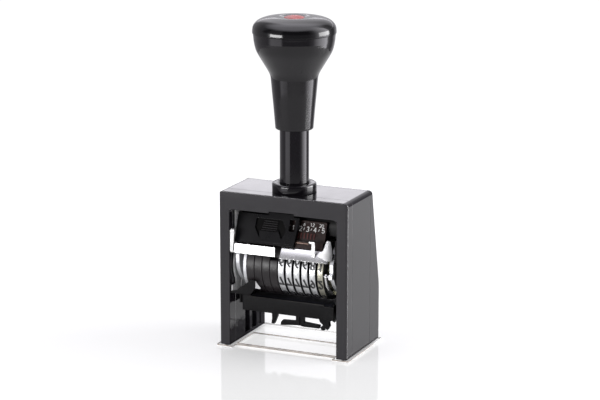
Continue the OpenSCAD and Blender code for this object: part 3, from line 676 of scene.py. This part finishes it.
for j in range(ny):
    f += [(j * W, (j + 1) * W, top + (j + 1) * W, top + j * W), ((j + 1) * W + nx, j * W + nx, top + j * W + nx, top + (j + 1) * W + nx)]
pad = make("ink_pad_felt", v, f, [FELT], "ink_arm", ["ink_pad"], angle=60)

# -------------------------------------------------------- base plate's marks
v, f, idx = [], [], []
block(v, f, idx, (-0.15, 24.9, 1.0), (0.15, 27.0, 1.03))
block(v, f, idx, (-0.9, 9.3, 1.0), (0.9, 9.5, 1.03))
block(v, f, idx, (-0.35, -10.4, 1.0), (0.35, -9.8, 1.03))
make("base_plate_marks", v, f, [GREYINK], "housing", angle=30)

# --------------------------------------------------------------------- stage
fm = bpy.data.materials.new("floor_white")
fm.use_nodes = True
t = fm.node_tree
p = t.nodes["Principled BSDF"]
p.inputs["Roughness"].default_value = 0.07
p.inputs["Specular IOR Level"].default_value = 0.3
tc = t.nodes.new("ShaderNodeTexCoord")
nz = t.nodes.new("ShaderNodeTexNoise")
nz.inputs["Scale"].default_value = 8.0
link(t, tc, "Object", nz, "Vector")
cr = t.nodes.new("ShaderNodeValToRGB")
cr.color_ramp.elements[0].color = (0.93, 0.93, 0.93, 1)
cr.color_ramp.elements[1].color = (0.96, 0.96, 0.96, 1)
link(t, nz, "Fac", cr, "Fac")
link(t, cr, "Color", p, "Base Color")
p.inputs["Emission Color"].default_value = (1, 1, 1, 1)
# a little lighter under the window, where the object itself keeps the light off
so = t.nodes.new("ShaderNodeSeparateXYZ")
link(t, tc, "Object", so, "Vector")
ax = t.nodes.new("ShaderNodeMath")
ax.operation = "ABSOLUTE"
link(t, so, "X", ax, 0)
glow = None
for src, sock, lo, hi in ((ax, "Value", 0.0285, 0.0265), (so, "Y", -0.0135, -0.0115), (so, "Y", 0.05, 0.03)):
    r = t.nodes.new("ShaderNodeMapRange")
    r.inputs["From Min"].default_value = lo
    r.inputs["From Max"].default_value = hi
    link(t, src, sock, r, "Value")
    if glow is None:
        glow, out = r, "Result"
    else:
        mu = t.nodes.new("ShaderNodeMath")
        mu.operation = "MULTIPLY"
        link(t, glow, out, mu, 0)
        link(t, r, "Result", mu, 1)
        glow, out = mu, "Value"
es = t.nodes.new("ShaderNodeMapRange")
es.inputs["To Min"].default_value = 0.34
es.inputs["To Max"].default_value = 0.56
link(t, glow, out, es, "Value")
link(t, es, "Result", p, "Emission Strength")
R = 0.36
me = bpy.data.meshes.new("floor")
bm = bmesh.new()
for i in range(96):
    a = 2 * PI * i / 96
    bm.verts.new((R * math.cos(a), R * math.sin(a), -0.0002))
bm.faces.new(bm.verts)
bm.to_mesh(me)
bm.free()
me.materials.append(fm)
floor = bpy.data.objects.new("floor", me)
bpy.context.collection.objects.link(floor)

# World: plain white to the eye and to diffuse light; in reflections a studio
# with a bright back and right, a light strip at the front left and a dark room
world = bpy.data.worlds.new("studio")
bpy.context.scene.world = world
world.use_nodes = True
t = world.node_tree
bg = t.nodes["Background"]
tc = t.nodes.new("ShaderNodeTexCoord")
sp = t.nodes.new("ShaderNodeSeparateXYZ")
link(t, tc, "Generated", sp, "Vector")
ny_ = t.nodes.new("ShaderNodeMath")
ny_.operation = "MULTIPLY"
ny_.inputs[1].default_value = -1.0
link(t, sp, "Y", ny_, 0)
at = t.nodes.new("ShaderNodeMath")
at.operation = "ARCTAN2"
link(t, sp, "X", at, 0)
link(t, ny_, "Value", at, 1)
mr = t.nodes.new("ShaderNodeMapRange")
mr.inputs["From Min"].default_value = -PI
mr.inputs["From Max"].default_value = PI
link(t, at, "Value", mr, "Value")
ramp = t.nodes.new("ShaderNodeValToRGB")
stops = [(-180, 0.32), (-146, 0.32), (-136, 0.068), (-56, 0.063), (-45, 0.26), (-14, 0.25), (-10, 0.034), (64, 0.034), (80, 0.1), (98, 0.5),
         (110, 0.7), (130, 0.85), (136, 0.16), (150, 0.1), (161, 0.1), (168, 0.26), (180, 0.315)]
el = ramp.color_ramp.elements
for i, (az, val) in enumerate(stops):
    pos = (az + 180) / 360
    if i < 2:
        e = el[i]
        e.position = pos
    else:
        e = el.new(pos)
    e.color = (val, val, val, 1)
link(t, mr, "Result", ramp, "Fac")
up = t.nodes.new("ShaderNodeMapRange")
up.interpolation_type = "SMOOTHSTEP"
up.inputs["From Min"].default_value = 0.6
up.inputs["From Max"].default_value = 0.96
link(t, sp, "Z", up, "Value")
mix = t.nodes.new("ShaderNodeMix")
mix.data_type = "RGBA"
mix.inputs["B"].default_value = (0.46, 0.46, 0.47, 1)
link(t, up, "Result", mix, "Factor")
band = t.nodes.new("ShaderNodeValToRGB")
shift = t.nodes.new("ShaderNodeMapRange")
shift.inputs["From Min"].default_value = -0.5
shift.inputs["From Max"].default_value = 0.5
link(t, sp, "Z", shift, "Value")
be = band.color_ramp.elements
for i, (z, val) in enumerate([(-0.5, 0.3), (0.15, 0.3), (0.205, 0.34), (0.22, 1.0), (0.246, 1.0), (0.264, 0.4), (0.36, 0.42), (0.5, 0.38)]):
    if i < 2:
        e = be[i]
        e.position = z + 0.5
    else:
        e = be.new(z + 0.5)
    e.color = (val, val, val, 1)
link(t, shift, "Result", band, "Fac")
behind = t.nodes.new("ShaderNodeMapRange")
behind.inputs["From Min"].default_value = 0.55
behind.inputs["From Max"].default_value = 0.85
link(t, sp, "Y", behind, "Value")
lid = t.nodes.new("ShaderNodeMix")
lid.data_type = "RGBA"
lid.blend_type = "MULTIPLY"
link(t, behind, "Result", lid, "Factor")
t.links.new(ramp.outputs["Color"], lid.inputs["A"])
t.links.new(band.outputs["Color"], lid.inputs["B"])
low = t.nodes.new("ShaderNodeMapRange")
low.inputs["From Min"].default_value = 0.02
low.inputs["From Max"].default_value = 0.12
low.inputs["To Min"].default_value = 1.0
low.inputs["To Max"].default_value = 0.2
link(t, sp, "Z", low, "Value")
front = t.nodes.new("ShaderNodeMapRange")
front.inputs["From Min"].default_value = -0.2
front.inputs["From Max"].default_value = -0.4
link(t, sp, "Y", front, "Value")
dim = t.nodes.new("ShaderNodeMix")
dim.data_type = "RGBA"
dim.blend_type = "MULTIPLY"
link(t, front, "Result", dim, "Factor")
t.links.new(lid.outputs["Result"], dim.inputs["A"])
t.links.new(low.outputs["Result"], dim.inputs["B"])
t.links.new(dim.outputs["Result"], mix.inputs["A"])
lp = t.nodes.new("ShaderNodeLightPath")
pick = t.nodes.new("ShaderNodeMix")
pick.data_type = "RGBA"
pick.inputs["A"].default_value = (0.52, 0.52, 0.53, 1)
link(t, lp, "Is Glossy Ray", pick, "Factor")
gain = t.nodes.new("ShaderNodeVectorMath")
gain.operation = "MULTIPLY"
gain.inputs[1].default_value = (8.0, 7.85, 8.3)
t.links.new(mix.outputs["Result"], gain.inputs[0])
t.links.new(gain.outputs["Vector"], pick.inputs["B"])
eye = t.nodes.new("ShaderNodeMix")
eye.data_type = "RGBA"
eye.inputs["B"].default_value = (1.05, 1.05, 1.05, 1)
link(t, lp, "Is Camera Ray", eye, "Factor")
t.links.new(pick.outputs["Result"], eye.inputs["A"])
t.links.new(eye.outputs["Result"], bg.inputs["Color"])
bg.inputs["Strength"].default_value = 1.0


def softbox(name, loc, target, sx, sy, power):
    d = bpy.data.lights.new(name, "AREA")
    d.shape = "RECTANGLE"
    d.size, d.size_y = sx, sy
    d.energy = power
    o = bpy.data.objects.new(name, d)
    o.location = loc
    o.rotation_mode = "QUATERNION"
    o.rotation_quaternion = (Vector(target) - Vector(loc)).to_track_quat("-Z", "Y")
    bpy.context.collection.objects.link(o)
    return o


def around(az, el, d):
    a, e = math.radians(az), math.radians(el)
    return (math.sin(a) * math.cos(e) * d, -math.cos(a) * math.cos(e) * d, 0.12 + math.sin(e) * d)


softbox("key", around(-27, -1.5, 1.2), (0, 0, 0.12), 0.78, 0.17, 9.5)
softbox("fill", around(113, 4, 1.2), (0, 0, 0.12), 0.82, 0.36, 12.0)

# -------------------------------------------------------------------- camera
cd = bpy.data.cameras.new("camera")
cam = bpy.data.objects.new("camera", cd)
bpy.context.collection.objects.link(cam)
cd.sensor_width = 36.0
cd.lens = 134.85
cd.shift_x, cd.shift_y = 0.0037, 0.0378
AZI, ELE, DIST = math.radians(24.11), math.radians(14.25), 1.0828
back = Vector((math.sin(AZI) * math.cos(ELE), -math.cos(AZI) * math.cos(ELE), math.sin(ELE)))
cam.location = Vector((0, 0.00395, 0.061)) + back * DIST
cam.rotation_mode = "QUATERNION"
cam.rotation_quaternion = (-back).to_track_quat("-Z", "Y")
cd.clip_start, cd.clip_end = 0.05, 50.0
bpy.context.scene.camera = cam
bpy.context.scene.view_settings.view_transform = "Standard"
